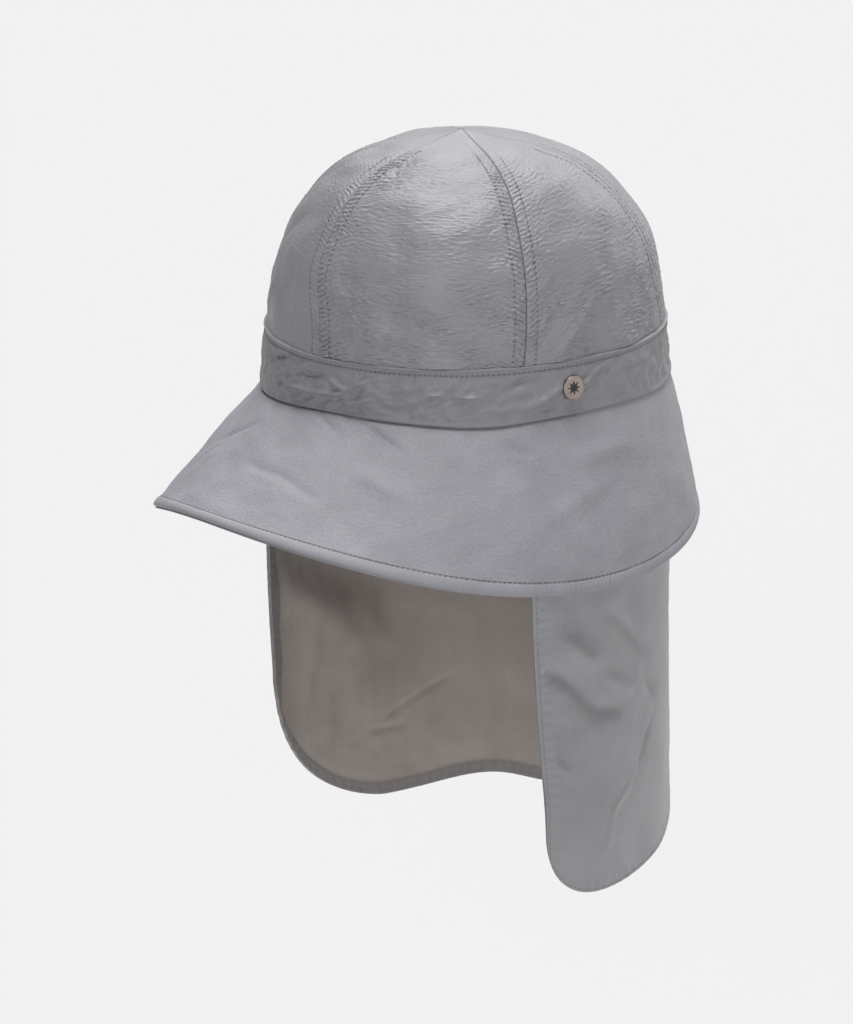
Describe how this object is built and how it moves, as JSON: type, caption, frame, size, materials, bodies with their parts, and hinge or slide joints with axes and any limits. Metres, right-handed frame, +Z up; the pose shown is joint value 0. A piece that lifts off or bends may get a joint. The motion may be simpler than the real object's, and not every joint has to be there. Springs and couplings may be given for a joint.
{
  "type": "sun bonnet",
  "caption": "Soft sun bonnet: panelled round crown, stitched band, wide drooping bound brim, long neck flap and a small round badge.",
  "frame": {"origin": "centre of the head opening, in the plane of the band's lower edge, where the hat sits on a head", "axes": "+Z up through the crown, front of the hat towards -Y, wearer's left towards +X"},
  "size_m": [0.2347, 0.2671, 0.3507],
  "materials": {
    "crown_cloth": "crinkled woven nylon",
    "band_cloth": "woven nylon, top-stitched",
    "brim_cloth": "matt woven nylon",
    "binding_cloth": "folded woven nylon, top-stitched",
    "flap_cloth": "thin woven nylon",
    "badge_metal": "polished pale nickel",
    "badge_enamel": "black enamel"
  },
  "bodies": {
    "root": {"crown_front_left": "crown_cloth", "crown_side_left": "crown_cloth", "crown_back_left": "crown_cloth", "crown_back_right": "crown_cloth", "crown_side_right": "crown_cloth", "crown_front_right": "crown_cloth", "band": "band_cloth", "brim": "brim_cloth", "brim_binding": "binding_cloth", "neck_flap": "flap_cloth", "badge": "badge_metal", "badge_star": "badge_enamel"}
  },
  "joints": []
}
